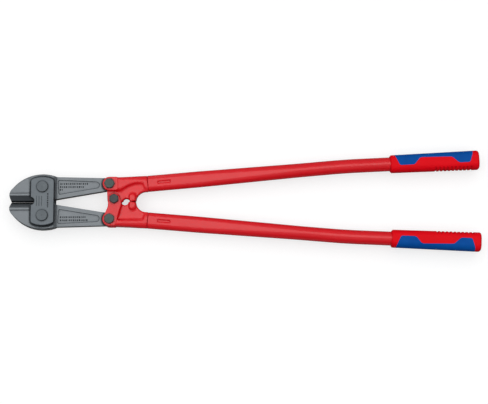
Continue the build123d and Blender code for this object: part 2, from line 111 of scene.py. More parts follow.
paint = add_node(tree, "ShaderNodeMixShader", {
    0: ray.outputs["Is Camera Ray"], 1: dim.outputs[0], 2: both.outputs[0]})
add_node(tree, "ShaderNodeOutputMaterial", {"Surface": paint.outputs[0]})
floor.data.materials.append(floor_paint)


def light_card(name, width, depth, place, lean, strength, soft=True, shine=True):
    """A glowing sheet facing down, leaning over by lean degrees, that the camera does not see.

    A soft card lights rough surfaces, and one with shine is mirrored in glossy ones.
    """
    bpy.ops.object.select_all(action="DESELECT")
    bpy.ops.mesh.primitive_plane_add(size=1)
    card = bpy.context.object
    card.name = name
    card.scale = (width, depth, 1)
    card.rotation_euler = (radians(180 + lean), 0, 0)
    card.location = place
    bpy.ops.object.transform_apply(location=True, rotation=True, scale=True)
    cloth = bpy.data.materials.new(name + "_cloth")
    cloth.use_nodes = True
    tree = cloth.node_tree
    tree.nodes.clear()
    lit = add_node(tree, "ShaderNodeEmission", {"Color": WHITE, "Strength": strength})
    add_node(tree, "ShaderNodeOutputMaterial", {"Surface": lit.outputs[0]})
    card.data.materials.append(cloth)
    card.visible_camera = False
    card.visible_shadow = False
    card.visible_diffuse = soft
    card.visible_glossy = shine


LAMP_X, LAMP_HEIGHT, LAMP_LENGTH = -0.3, 3.4, 7.2
light_card("softbox", LAMP_LENGTH, 6.6, (LAMP_X, 0.7, LAMP_HEIGHT), 0, 1.46, shine=False)
light_card("strip_light", LAMP_LENGTH, 2.0, (LAMP_X, 0.62, LAMP_HEIGHT), 0, 1.7, soft=False)
light_card("jaw_card", 0.4, 0.5, (-0.42, 0.8, 0.28), 74, 0.9)

# The room grows darker towards the floor, and the camera sees a pale wall all round.
ROOM_SLOPE = (0, 0.3, 1)              # the way in which the room gets lighter
ROOM_LOW, ROOM_HIGH = -0.1, 0.7       # along it
ROOM_DARK, ROOM_LIGHT = 0.08, 0.34
WALL_LIGHT = 0.95
world = bpy.data.worlds.new("studio")
bpy.context.scene.world = world
world.use_nodes = True
tree = world.node_tree
tree.nodes.clear()
ray = add_node(tree, "ShaderNodeLightPath")
wall = add_node(tree, "ShaderNodeBackground", {
    "Color": (0.93, 0.94, 0.95, 1), "Strength": WALL_LIGHT})
way = add_node(tree, "ShaderNodeTexCoord").outputs["Generated"]
height = add_node(tree, "ShaderNodeVectorMath", {0: way, 1: ROOM_SLOPE}, operation="DOT_PRODUCT")
paler = add_node(tree, "ShaderNodeMapRange", {
    "Value": height.outputs["Value"], "From Min": ROOM_LOW, "From Max": ROOM_HIGH,
    "To Min": ROOM_DARK, "To Max": ROOM_LIGHT})
room = add_node(tree, "ShaderNodeBackground", {
    "Color": (0.9, 0.95, 1.0, 1), "Strength": paler.outputs["Result"]})
mixed = add_node(tree, "ShaderNodeMixShader", {
    0: ray.outputs["Is Camera Ray"], 1: room.outputs[0], 2: wall.outputs[0]})
add_node(tree, "ShaderNodeOutputWorld", {"Surface": mixed.outputs[0]})

tilt = radians(VIEW_TILT)
bpy.ops.object.camera_add(
    location=(VIEW_CENTRE[0], VIEW_CENTRE[1] - VIEW_DISTANCE * sin(tilt),
              MIDDLE + VIEW_DISTANCE * cos(tilt)),
    rotation=(tilt, 0, 0))
camera = bpy.context.object
camera.rotation_euler.rotate_axis("Z", radians(VIEW_ROLL))
camera.data.sensor_width = SENSOR
camera.data.lens = SENSOR * VIEW_DISTANCE / VIEW_WIDTH
camera.data.clip_end = 50
bpy.context.scene.camera = camera
bpy.context.scene.view_settings.view_transform = "Standard"

# ------------------------------------------------------------------ head plates
# Two flat forged steel plates hold the jaws between them, in front and behind.
# They are phosphated a dark grey. The front one has three stamped grooves and a row of bars.
PLATE_TOP = MIDDLE + 20.8 * MM
JAW_BOLT_X = -390.922 * MM
MERGE = 0.002 * MM                    # vertices nearer than this are one
STAMP_DEPTH = 0.3 * MM
STAMP_EDGE = 0.25 * MM
STAMP_ROOM = 0.12 * MM                # how far a stamped bottom may be from its depth
GROOVES_X = (-11, -6, -1)             # from the jaw bolts, mm
GROOVE_WIDTH, GROOVE_LENGTH = 0.9 * MM, 20 * MM
PLATE_BARS_X = 10.7                   # from the jaw bolts, mm
PLATE_BAR_WIDTH = 2.6 * MM
PLATE_BARS = (                        # middle across the tool, and length, mm
    (13.5, 3.4), (9.2, 2.2), (5.3, 3.0), (1.0, 2.6), (-3.4, 3.6), (-8.0, 2.6), (-11.6, 2.0))


def new_group(name, inputs, outputs):
    """A node group with its named sockets, and the nodes that carry them."""
    group = bpy.data.node_groups.new(name, "ShaderNodeTree")
    for side, sockets in (("INPUT", inputs), ("OUTPUT", outputs)):
        for label, kind, value in sockets:
            socket = group.interface.new_socket(
                label, in_out=side, socket_type="NodeSocket" + kind)
            if value is not None:
                socket.default_value = value
    return group, add_node(group, "NodeGroupInput"), add_node(group, "NodeGroupOutput")


# Blasted or coated surface: fine grain, and slow changes of tone over the piece.
grain, takes, gives = new_group(
    "surface_grain",
    [("Vector", "Vector", None), ("Grain Scale", "Float", 900.0), ("Cloud Scale", "Float", 30.0)],
    [("Height", "Float", None), ("Cloud", "Float", None)])
fine = add_node(grain, "ShaderNodeTexNoise", {
    "Vector": takes.outputs["Vector"], "Scale": takes.outputs["Grain Scale"],
    "Detail": 4.0, "Roughness": 0.6})
slow = add_node(grain, "ShaderNodeTexNoise", {
    "Vector": takes.outputs["Vector"], "Scale": takes.outputs["Cloud Scale"],
    "Detail": 5.0, "Roughness": 0.62})
grain.links.new(fine.outputs["Fac"], gives.inputs["Height"])
grain.links.new(slow.outputs["Fac"], gives.inputs["Cloud"])

# Edges: paler, as a little wear and a painted highlight along them, broken up by a noise.
edges, takes, gives = new_group(
    "edge_wear_and_highlight",
    [("Vector", "Vector", None), ("Radius", "Float", 0.0008), ("Break Scale", "Float", 250.0),
     ("Amount", "Float", 1.0)],
    [("Worn Highlit", "Float", None)])
rounded = add_node(edges, "ShaderNodeBevel", {"Radius": takes.outputs["Radius"]}, samples=4)
surface = add_node(edges, "ShaderNodeNewGeometry")
across = add_node(edges, "ShaderNodeVectorMath", {
    0: rounded.outputs["Normal"], 1: surface.outputs["Normal"]}, operation="DOT_PRODUCT")
bend = add_node(edges, "ShaderNodeMapRange", {
    "Value": across.outputs["Value"], "From Min": 0.99, "From Max": 0.80})
patchy = add_node(edges, "ShaderNodeTexNoise", {
    "Vector": takes.outputs["Vector"], "Scale": takes.outputs["Break Scale"], "Detail": 3.0})
kept = add_node(edges, "ShaderNodeMapRange", {
    "Value": patchy.outputs["Fac"], "From Min": 0.35, "From Max": 0.65})
edge_wear_light = add_node(edges, "ShaderNodeMath", {0: bend.outputs["Result"], 1: kept.outputs["Result"]},
                operation="MULTIPLY")
some = add_node(edges, "ShaderNodeMath", {0: edge_wear_light.outputs[0], 1: takes.outputs["Amount"]},
                operation="MULTIPLY", use_clamp=True)
edges.links.new(some.outputs[0], gives.inputs["Worn Highlit"])

# Corners: painted shade where walls meet, a darker colour laid in by an ambient occlusion mask.
corner_shade_group, takes, gives = new_group(
    "painted_corner_shade",
    [("Reach", "Float", 0.004), ("From", "Float", 0.45), ("To", "Float", 0.95)],
    [("Open", "Float", None)])
closed = add_node(corner_shade_group, "ShaderNodeAmbientOcclusion", {"Distance": takes.outputs["Reach"]},
                  samples=8, only_local=False)
ramp = add_node(corner_shade_group, "ShaderNodeMapRange", {
    "Value": closed.outputs["AO"], "From Min": takes.outputs["From"],
    "From Max": takes.outputs["To"]})
corner_shade_group.links.new(ramp.outputs["Result"], gives.inputs["Open"])


def coloured(value):
    """A colour with its alpha."""
    return (*value, 1.0)


def finish_material(name, dark, light, worn_highlit_edge, roughness, metallic, specular=0.5, bump=0.1,
                    grain_scale=900.0, cloud_scale=30.0, edge_radius=0.0006, edge_amount=0.5,
                    corner=None, corner_reach=0.004, corner_span=(0.45, 0.95)):
    """A metal, coat or plastic whose colour drifts from dark to light, paler at edges as a little
    wear and a painted edge highlight.

    Where walls meet it has the corner colour, or else the dark one: painted shade from an
    occlusion mask.
    """
    material = bpy.data.materials.new(name)
    material.use_nodes = True
    tree = material.node_tree
    shader = tree.nodes["Principled BSDF"]
    place = add_node(tree, "ShaderNodeTexCoord").outputs["Object"]
    texture = add_node(tree, "ShaderNodeGroup", node_tree=grain)
    edge_paling = add_node(tree, "ShaderNodeGroup", node_tree=edges)
    closed = add_node(tree, "ShaderNodeGroup", node_tree=corner_shade_group)
    for node in (texture, edge_paling):
        tree.links.new(place, node.inputs["Vector"])
    for node, values in (
            (texture, {"Grain Scale": grain_scale, "Cloud Scale": cloud_scale}),
            (edge_paling, {"Radius": edge_radius, "Amount": edge_amount}),
            (closed, {"Reach": corner_reach, "From": corner_span[0], "To": corner_span[1]})):
        for key, value in values.items():
            node.inputs[key].default_value = value
    drift = add_node(tree, "ShaderNodeMapRange", {
        "Value": texture.outputs["Cloud"], "From Min": 0.3, "From Max": 0.7})
    ground = add_node(tree, "ShaderNodeMix", {
        0: drift.outputs["Result"], 6: coloured(dark), 7: coloured(light)}, data_type="RGBA")
    # Paler edges: partly wear, partly a painted edge highlight.
    colour = add_node(tree, "ShaderNodeMix", {
        0: edge_paling.outputs["Worn Highlit"], 6: ground.outputs[2], 7: coloured(worn_highlit_edge)}, data_type="RGBA")
    # Painted shade: the corner colour, or the dark one, where the occlusion mask is low.
    colour = add_node(tree, "ShaderNodeMix", {
        0: closed.outputs["Open"], 6: coloured(corner or dark), 7: colour.outputs[2]},
        data_type="RGBA")
    gloss = add_node(tree, "ShaderNodeMapRange", {
        "Value": texture.outputs["Height"], "From Min": 0.3, "From Max": 0.7,
        "To Min": roughness - 0.05, "To Max": roughness + 0.05})
    relief = add_node(tree, "ShaderNodeBump", {
        "Height": texture.outputs["Height"], "Strength": bump, "Distance": 0.0002})
    tree.links.new(colour.outputs[2], shader.inputs["Base Color"])
    tree.links.new(gloss.outputs["Result"], shader.inputs["Roughness"])
    tree.links.new(relief.outputs["Normal"], shader.inputs["Normal"])
    shader.inputs["Metallic"].default_value = metallic
    shader.inputs["Specular IOR Level"].default_value = specular
    return material


# Plate steel: its pale edge colour is a little wear and painted edge highlight; its near-black
# corner colour is painted shade.
plate_steel = finish_material(
    "phosphated_plate", (0.132, 0.148, 0.161), (0.152, 0.170, 0.183), (0.22, 0.235, 0.25),
    roughness=0.42, metallic=0.9, bump=0.25, grain_scale=1500.0, corner=(0.028, 0.032, 0.036))
# Near-black colour for the bottoms of the stamped marks: painted shade in the shallow recesses.
stamp_shade = finish_material(
    "painted_stamp_shade", (0.030, 0.034, 0.038), (0.040, 0.045, 0.050), (0.05, 0.055, 0.06),
    roughness=0.6, metallic=0.7, bump=0.2, grain_scale=1500.0)


def copy_of(node, name):
    """A merged copy of a CAD node, which stands for it."""
    bpy.ops.object.select_all(action="DESELECT")
    source = frame["nodes"][node]
    source.select_set(True)
    bpy.context.view_layer.objects.active = source
    bpy.ops.object.duplicate()
    piece = bpy.context.object
    bpy.ops.object.parent_clear(type="CLEAR_KEEP_TRANSFORM")
    piece.name = piece.data.name = name
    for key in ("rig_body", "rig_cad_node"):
        del piece[key]
    bpy.ops.mesh.customdata_custom_splitnormals_clear()
    bpy.ops.object.mode_set(mode="EDIT")
    bpy.ops.mesh.select_all(action="SELECT")
    bpy.ops.mesh.remove_doubles(threshold=MERGE)
    bpy.ops.object.mode_set(mode="OBJECT")
    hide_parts(node)
    return piece


def apply_modifiers(piece):
    """Applies all modifiers of a piece, from first to last."""
    bpy.ops.object.select_all(action="DESELECT")
    piece.select_set(True)
    bpy.context.view_layer.objects.active = piece
    for modifier in list(piece.modifiers):
        bpy.ops.object.modifier_apply(modifier=modifier.name)


def combine(piece, other, operation, keep_other=False):
    """Cuts, joins or crosses a piece with another, which then goes."""
    modifier = piece.modifiers.new("shape", "BOOLEAN")
    modifier.operation = operation
    modifier.solver = "EXACT"
    modifier.object = other
    apply_modifiers(piece)
    if not keep_other:
        bpy.data.objects.remove(other)


def dress(piece, material, body):
    """Gives a finished piece its finish and the body that it rides on."""
    piece.data.materials.clear()
    piece.data.materials.append(material)
    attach(piece, body)


def smooth(piece, angle=35):
    """Shades a piece smooth, but for edges sharper than the angle in degrees."""
    bpy.ops.object.select_all(action="DESELECT")
    piece.select_set(True)
    bpy.context.view_layer.objects.active = piece
    bpy.ops.object.shade_smooth_by_angle(angle=radians(angle))


def stamp(piece, bars, top):
    """Stamps bars, each (x, y, length, width), into a face at the height top."""
    bpy.ops.object.select_all(action="DESELECT")
    bpy.ops.mesh.primitive_cube_add(size=1)
    punch = bpy.context.object
    bpy.ops.object.mode_set(mode="EDIT")
    bpy.ops.mesh.delete(type="VERT")      # an empty mesh, which takes all the bars
    for x, y, length, width in bars:
        bpy.ops.mesh.primitive_cube_add(
            size=1, location=(x, y, top), scale=(length, width, 2 * STAMP_DEPTH))
    bpy.ops.mesh.select_all(action="SELECT")
    bpy.ops.mesh.bevel(offset=STAMP_EDGE, segments=2, clamp_overlap=True)
    bpy.ops.object.mode_set(mode="OBJECT")
    combine(piece, punch, "DIFFERENCE")


def paint_stamp_shade(piece, floor_height):
    """Puts the second material, a near-black painted shade, on the bottoms of the stamped marks.
    """
    piece.data.materials.append(stamp_shade)
    for face in piece.data.polygons:
        if abs(face.center.z - floor_height) < STAMP_ROOM and face.normal.z > 0.5:
            face.material_index = 1


front_plate = copy_of("front_head_plate", "front_head_plate_stamped")
marks = [(JAW_BOLT_X + dx * MM, 0.0, GROOVE_WIDTH, GROOVE_LENGTH) for dx in GROOVES_X]
for y, length in PLATE_BARS:
    marks.append((JAW_BOLT_X + PLATE_BARS_X * MM, y * MM, PLATE_BAR_WIDTH, length * MM))
stamp(front_plate, marks, PLATE_TOP)
smooth(front_plate)
dress(front_plate, plate_steel, "head")
# Painted shade on the bottoms of the stamped grooves and bars.
paint_stamp_shade(front_plate, PLATE_TOP - STAMP_DEPTH)
frame["nodes"]["back_head_plate"].material_slots[0].material = plate_steel

# ------------------------------------------------------------------ jaws
# Drop-forged tool steel, ground at the cutting edges and phosphated grey all over.
# Each tail has a sunk panel with rows of short stamped bars.
PANEL_TOP = MIDDLE + 7.0 * MM
BAR_WIDTH = 3.6 * MM
BAR_GAP = 1.5                         # mm
BAR_LENGTHS = (2.6, 1.6, 2.2, 2.9, 1.4, 2.4, 1.9)      # in turn along a row, mm
# Start and end from the jaw bolts, and place across the tool, mm
UPPER_ROWS = ((33.0, 88.0, 35.2), (32.5, 78.0, 29.0), (32.0, 36.5, 23.6))
LOWER_ROWS = ((33.0, 86.0, -36.0), (33.0, 84.0, -29.9))

# Jaw steel: pale edge colour for a little wear and painted edge highlight; near-black corner
# colour for painted shade round the panels and strap.
jaw_steel = finish_material(
    "phosphated_jaw", (0.175, 0.190, 0.202), (0.205, 0.221, 0.234), (0.36, 0.38, 0.40),
    roughness=0.40, metallic=0.9, bump=0.3, grain_scale=1300.0, edge_radius=0.001,
    edge_amount=0.8, corner=(0.020, 0.024, 0.027), corner_reach=0.006, corner_span=(0.78, 0.95))


def bar_rows(rows):
    """The bars of all the rows, for stamp."""
    made = []
    for start, end, y in rows:
        at = start
        turn = 0
        while at < end:
            length = BAR_LENGTHS[turn % len(BAR_LENGTHS)]
            made.append((JAW_BOLT_X + (at + length / 2) * MM, y * MM, length * MM, BAR_WIDTH))
            at += length + BAR_GAP
            turn += 1
    return made


for side, rows in (("upper", UPPER_ROWS), ("lower", LOWER_ROWS)):
    jaw = copy_of(side + "_jaw", side + "_jaw_stamped")
    stamp(jaw, bar_rows(rows), PANEL_TOP)
    smooth(jaw, 25)
    dress(jaw, jaw_steel, side + "_jaw")
    # Painted shade on the bottoms of the stamped bars.
    paint_stamp_shade(jaw, PANEL_TOP - STAMP_DEPTH)

# ------------------------------------------------------------------ bolts and nuts
# Turned and cold-headed alloy steel, blackened. The jaw bolts have low round heads in the
# colour of the plates; the link and centre bolts have chamfered hexagon heads.
# Bolt finishes: pale edge colours for a little wear and painted edge highlight; darker colour
# where walls meet as painted shade.
jaw_bolt_steel = finish_material(
    "phosphated_bolt", (0.106, 0.119, 0.129), (0.124, 0.139, 0.149), (0.20, 0.21, 0.22),
    roughness=0.42, metallic=0.9, bump=0.2, grain_scale=1500.0, cloud_scale=80.0,
    corner=(0.04, 0.045, 0.05), corner_reach=0.003)
bolt_steel = finish_material(
    "blackened_bolt", (0.060, 0.075, 0.070), (0.075, 0.092, 0.086), (0.18, 0.19, 0.19),
    roughness=0.36, metallic=0.9, bump=0.12, grain_scale=1800.0, cloud_scale=120.0,
    edge_radius=0.0004)
centre_steel = finish_material(
    "blackened_centre_bolt", (0.050, 0.053, 0.055), (0.064, 0.067, 0.070), (0.16, 0.165, 0.17),
    roughness=0.36, metallic=0.9, bump=0.12, grain_scale=1800.0, cloud_scale=120.0,
    edge_radius=0.0004)
for side in ("upper", "lower"):
    frame["nodes"][side + "_jaw_bolt"].material_slots[0].material = jaw_bolt_steel
    frame["nodes"][side + "_jaw_nut"].material_slots[0].material = bolt_steel
    frame["nodes"][side + "_link_bolt"].material_slots[0].material = bolt_steel
    frame["nodes"][side + "_link_nut"].material_slots[0].material = bolt_steel
for name in ("centre_pivot_bolt", "centre_pivot_nut", "centre_adjusting_bush"):
    frame["nodes"][name].material_slots[0].material = centre_steel

# ------------------------------------------------------------------ levers
# Drop forgings with drafted walls, powder-coated red after machining. The coat fills every
# corner a little, so that no edge is crisp, and the walls round the sunk web run into it
# with wide fillets. The jaw tails are bolted in their forks.
VOXEL = 0.8 * MM
ROUNDING_STEPS = 14
SMOOTHING = 0.5
ARM_START, ARM_END = -245.5 * MM, -189.5 * MM         # the fillets lie between these
STOP_X = -224.5 * MM                  # the stop blocks keep their own edges
STOP_ROOM = (9.5 * MM, 18.5 * MM)     # along the tool, and from its centre line
WALL_LOW, WALL_HIGH = 6.5 * MM, 12.5 * MM     # from the middle plane
FILLET_REACH = 4                      # rings of vertices either side of a wall
FILLET_STEPS = 40

# Red coat: its paler, whiter edge colour is a painted sheen with a little wear; its dark red
# corner colour is painted shade.
powder_coat = finish_material(
    "red_powder_coat", (0.70, 0.004, 0.010), (0.75, 0.006, 0.013), (0.76, 0.07, 0.06),
    roughness=0.20, metallic=0.0, bump=0.07, grain_scale=650.0, cloud_scale=18.0,
    edge_radius=0.0009, edge_amount=0.15, corner=(0.33, 0.002, 0.006), corner_reach=0.004)


def pick(test):
    """Selects the vertices that pass the test, by their place, in the mesh being edited."""
    bpy.ops.mesh.select_mode(type="VERT")
    bpy.ops.mesh.select_all(action="DESELECT")
    mesh = bpy.context.edit_object.data
    shape = bmesh.from_edit_mesh(mesh)
    for vertex in shape.verts:
        vertex.select = test(vertex.co)
    shape.select_flush(True)
    bmesh.update_edit_mesh(mesh)


for side, body in (("upper", "upper_handle"), ("lower", "lower_handle")):
    lever = copy_of(side + "_lever", side + "_lever_forging")
    remesh = lever.modifiers.new("forging", "REMESH")
    remesh.mode = "VOXEL"
    remesh.voxel_size = VOXEL
    rounding = lever.modifiers.new("soft_edges", "SMOOTH")
    rounding.factor = SMOOTHING
    rounding.iterations = ROUNDING_STEPS
    apply_modifiers(lever)
    bpy.ops.object.mode_set(mode="EDIT")
    pick(lambda co: ARM_START < co.x < ARM_END
         and WALL_LOW < abs(co.z - MIDDLE) < WALL_HIGH
         and (abs(co.x - STOP_X) > STOP_ROOM[0] or abs(co.y) > STOP_ROOM[1]))
    for _ in range(FILLET_REACH):
        bpy.ops.mesh.select_more()
    bpy.ops.mesh.vertices_smooth(factor=SMOOTHING, repeat=FILLET_STEPS)
    bpy.ops.object.mode_set(mode="OBJECT")
    bpy.ops.object.shade_smooth()
    dress(lever, powder_coat, body)

# ------------------------------------------------------------------ handle tubes
# Steel tube, 27 mm across and 3 mm thick, flattened at its root and crimped on both faces
# onto the lever's tang, with one slight bend before the grip. Powder-coated red.
TUBE_ROOT = (-187.922 * MM, 35.95 * MM, MIDDLE)
TUBE_ANGLE = 4.95
GRIP_ANGLE = 2.54
TUBE_WALL = 3.0 * MM
FLAT_RADIUS = 10.0 * MM               # round sides of the flattened root
FLAT_SPREAD = 5.75 * MM               # and how far apart they are, from the axis
ROUND_RADIUS = 13.5 * MM
RIM = 0.4 * MM
FLAT_STATIONS = (9, 17, 25, 33, 41, 49, 57, 77, 97)    # rings along the flat root, mm
FLAT_END = 97.0 * MM
TAPER_END = 297.0 * MM
TAPER_STEPS = 12
STRAIGHT = 383.0 * MM
BEND_RADIUS = 1600.0 * MM
BEND_STEPS = 8
AFTER_BEND = 256.5 * MM
CRIMP_MIDDLE = 31.0 * MM
CRIMP_HALF_LENGTH = 12.5 * MM
CRIMP_HALF_WIDTH = 1.5 * MM
CRIMP_DEPTH = 2.0 * MM
CRIMP_BLEND = 2.2 * MM                # the metal round a crimp is drawn in over this
CRIMP_AREA = (8.9 * MM, 57.1 * MM)    # along the root, where the mesh is made finer
CRIMP_AREA_EDGE = 1.5 * MM            # and past the flat, across it
CRIMP_CUTS = 5
FLAT_SKIN = (0.15 * MM, 0.05 * MM)    # the face is picked this far down, before and after
RING_POINTS = 48
NEAR = 0.01 * MM                      # a vertex nearer to a ring than this is on it


def start_ring(points, radius, name):
    """A circle across the X axis, open for editing with all of it selected."""
    bpy.ops.object.select_all(action="DESELECT")
    bpy.ops.mesh.primitive_circle_add(vertices=points, radius=radius, rotation=(0, pi / 2, 0))
    bpy.ops.object.transform_apply(location=True, rotation=True, scale=True)
    bpy.context.object.name = bpy.context.object.data.name = name
    bpy.ops.object.mode_set(mode="EDIT")
    bpy.ops.mesh.select_all(action="SELECT")
    return bpy.context.object


def on_ring(x):
    """The test, for pick, of being on the ring at x."""
    return lambda co: abs(co.x - x) < NEAR


def spread_halves(x, dy, dz=0.0):
    """Moves the two halves of the ring at x apart, across and through the tool."""
    for axis, amount in ((1, dy), (2, dz)):
        for way in (1, -1):
            if abs(amount) > 1e-7:
                pick(lambda co: abs(co.x - x) < NEAR and co[axis] * way > NEAR / 2)
                move = [0.0, 0.0, 0.0]
                move[axis] = way * amount
                bpy.ops.transform.translate(value=move)
    pick(on_ring(x))


def next_ring(x, step):
    """Extrudes the selected ring, at x, along the tube by step, and gives the new x."""
    bpy.ops.mesh.extrude_region_move(TRANSFORM_OT_translate={"value": (step, 0, 0)})
    return x + step


tube = start_ring(RING_POINTS, FLAT_RADIUS - RIM, "upper_handle_tube_bent")
spread_halves(0.0, FLAT_SPREAD)
x = next_ring(0.0, RIM)
spread_halves(x, -FLAT_SPREAD)
bpy.ops.transform.resize(
    value=(1, FLAT_RADIUS / (FLAT_RADIUS - RIM), FLAT_RADIUS / (FLAT_RADIUS - RIM)),
    center_override=(x, 0, 0))
spread_halves(x, FLAT_SPREAD)
for stop in FLAT_STATIONS:
    x = next_ring(x, stop * MM - x)
spread, radius = FLAT_SPREAD, FLAT_RADIUS
for step in range(1, TAPER_STEPS + 1):
    share = step / TAPER_STEPS
    x = next_ring(x, (TAPER_END - FLAT_END) / TAPER_STEPS)
    spread_halves(x, -spread)
    wider = FLAT_RADIUS + (ROUND_RADIUS - FLAT_RADIUS) * share
    bpy.ops.transform.resize(value=(1, wider / radius, wider / radius), center_override=(x, 0, 0))
    spread, radius = FLAT_SPREAD * (1 - share), wider
    spread_halves(x, spread)
turn = radians(TUBE_ANGLE - GRIP_ANGLE)
tangent = BEND_RADIUS * tan(turn / 2)
x = next_ring(x, STRAIGHT - tangent - x)
bpy.ops.mesh.spin(steps=BEND_STEPS, angle=turn, center=(x, -BEND_RADIUS, 0), axis=(0, 0, 1))
last = AFTER_BEND - tangent
bpy.ops.mesh.extrude_region_move(
    TRANSFORM_OT_translate={"value": (last * cos(turn), -last * sin(turn), 0)})
pick(lambda co: CRIMP_AREA[0] < co.x < CRIMP_AREA[1]
     and abs(co.y) < FLAT_SPREAD + CRIMP_AREA_EDGE and abs(co.z) > FLAT_RADIUS - FLAT_SKIN[0])
bpy.ops.mesh.subdivide(number_cuts=CRIMP_CUTS)
for way in (1, -1):
    pick(lambda co: co.z * way > FLAT_RADIUS - FLAT_SKIN[1] and abs(co.y) < CRIMP_HALF_WIDTH
         and abs(co.x - CRIMP_MIDDLE) < CRIMP_HALF_LENGTH)
    bpy.ops.transform.translate(
        value=(0, 0, -way * CRIMP_DEPTH), use_proportional_edit=True,
        proportional_edit_falloff="SMOOTH", proportional_size=CRIMP_BLEND)
bpy.ops.mesh.select_all(action="SELECT")
bpy.ops.mesh.remove_doubles(threshold=MERGE)
bpy.ops.mesh.normals_make_consistent(inside=False)
bpy.ops.object.mode_set(mode="OBJECT")
wall = tube.modifiers.new("wall", "SOLIDIFY")
wall.thickness = TUBE_WALL
wall.offset = -1
wall.use_even_offset = True
apply_modifiers(tube)
tube.location = TUBE_ROOT
tube.rotation_euler = (0, 0, radians(TUBE_ANGLE))
bpy.ops.object.transform_apply(location=True, rotation=True, scale=True)


def mirrored(piece, name):
    """The same piece on the other side of the tool's centre line."""
    bpy.ops.object.select_all(action="DESELECT")
    piece.select_set(True)
    bpy.context.view_layer.objects.active = piece
    bpy.ops.object.duplicate()
    twin = bpy.context.object
    twin.name = twin.data.name = name
    bpy.ops.object.mode_set(mode="EDIT")
    bpy.ops.mesh.select_all(action="SELECT")
    bpy.ops.transform.resize(value=(1, -1, 1), center_override=(0, 0, 0))
    bpy.ops.mesh.flip_normals()
    bpy.ops.object.mode_set(mode="OBJECT")
    return twin


other_tube = mirrored(tube, "lower_handle_tube_bent")
for piece, side in ((tube, "upper"), (other_tube, "lower")):
    smooth(piece, 30)
    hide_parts(side + "_handle_tube")
    dress(piece, powder_coat, side + "_handle")

# ------------------------------------------------------------------ grips
# Two-component handles pushed onto the tubes: a red plastic body with finger ribs on the
# inner side and a closed, rounded end, and a soft blue inlay moulded into its outer side.
GRIP_LENGTH = 173.5 * MM
GRIP_FRONT = (34.0 * MM, 30.0 * MM)   # width and thickness at the front
GRIP_REAR = (37.0 * MM, 33.0 * MM)
GRIP_CORNER = 12.0 * MM
GRIP_POINTS = 64
GRIP_STATIONS = 12
COLLAR = 2.5 * MM
END_ROUND = 5.0 * MM
END_STEPS = 6
END_WALL = 5.0 * MM                   # beyond the end of the tube
INLAY_DEPTH = 0.9 * MM
INLAY_CORNER = 3.2 * MM
INLAY_REACH = 30.0 * MM               # past the grip on every side, from its axis
INLAY_BAND = 4.0 * MM                 # width of the band that the outline starts as
SEAM = 0.12 * MM                      # between the inlay and the red body
INLAY_EDGE = (                        # from the grip's front, and outwards from its axis, mm
    (9.0, 17.0), (18.6, -5.0), (47.0, -5.0), (59.0, 8.7), (120.5, 6.8), (133.4, -5.4),
    (155.0, -5.4), (161.5, 14.0))
BORE_RADIUS = 13.55 * MM
BORE_DEPTH = 168.55 * MM
RIBS, RIB_PITCH, RIB_FIRST = 10, 7.6 * MM, 88.5 * MM
RIB_RADIUS, RIB_DEPTH = 2.0 * MM, 1.0 * MM
RIB_CURVE = 19.0 * MM                 # radius of the groove's floor round the grip
RIB_REACH = 14.0 * MM                 # either side of the middle plane

# Grip plastics: paler edge colours for a little wear and painted edge highlight; darker colour
# where walls meet as painted shade.
red_plastic = finish_material(
    "red_grip_plastic", (0.74, 0.001, 0.007), (0.79, 0.002, 0.009), (0.80, 0.02, 0.03),
    roughness=0.55, metallic=0.0, specular=0.06, bump=0.2, grain_scale=1600.0, edge_amount=0.25,
    corner=(0.34, 0.001, 0.004), corner_reach=0.003)
blue_rubber = finish_material(
    "blue_soft_inlay", (0.0008, 0.066, 0.31), (0.0012, 0.084, 0.36), (0.01, 0.12, 0.40),
    roughness=0.62, metallic=0.0, specular=0.06, bump=0.45, grain_scale=1100.0, edge_amount=0.2)


def half_width(x, which):
    """Half the grip's width (which 0) or thickness (which 1) at x from its front."""
    return (GRIP_FRONT[which] + (GRIP_REAR[which] - GRIP_FRONT[which]) * x / GRIP_LENGTH) / 2


def grip_block(name, inset, start, end, soft_ends):
    """The grip's outside, or its inside when inset, from start to end along its axis."""
    block = start_ring(GRIP_POINTS, GRIP_CORNER, name)
    spread_halves(0.0, GRIP_FRONT[0] / 2 - GRIP_CORNER, GRIP_FRONT[1] / 2 - GRIP_CORNER)
    now = [GRIP_FRONT[0] / 2, GRIP_FRONT[1] / 2]

    def fit(x, less):
        """Scales the selected ring to the grip's section at x, smaller by less all round."""
        wanted = [half_width(x, 0) - less, half_width(x, 1) - less]
        bpy.ops.transform.resize(
            value=(1, wanted[0] / now[0], wanted[1] / now[1]), center_override=(x, 0, 0))
        now[:] = wanted

    bpy.ops.transform.translate(value=(start, 0, 0))
    x = start
    stations = [(start, inset + COLLAR if soft_ends else inset)]
    if soft_ends:
        stations.append((start + COLLAR, inset))
    stations += [(start + (end - END_ROUND - start) * n / GRIP_STATIONS, inset)
                 for n in range(1, GRIP_STATIONS + 1)]
    if soft_ends:
        stations += [(end - END_ROUND + END_ROUND * sin(a), inset + END_ROUND * (1 - cos(a)))
                     for a in (radians(90 / END_STEPS * n) for n in range(1, END_STEPS + 1))]
    else:
        stations.append((end, inset))
    for number, (at, less) in enumerate(stations):
        if number:
            bpy.ops.mesh.extrude_region_move(TRANSFORM_OT_translate={"value": (at - x, 0, 0)})
        x = at
        fit(x, less)
        if number == 0:
            bpy.ops.mesh.edge_face_add()
            pick(on_ring(x))
            bpy.ops.mesh.select_mode(type="EDGE")
            bpy.ops.mesh.region_to_loop()     # its edge only, so that the front stays closed
    bpy.ops.mesh.edge_face_add()
    bpy.ops.mesh.select_all(action="SELECT")
    bpy.ops.mesh.remove_doubles(threshold=MERGE)
    bpy.ops.mesh.normals_make_consistent(inside=False)
    bpy.ops.object.mode_set(mode="OBJECT")
    return block


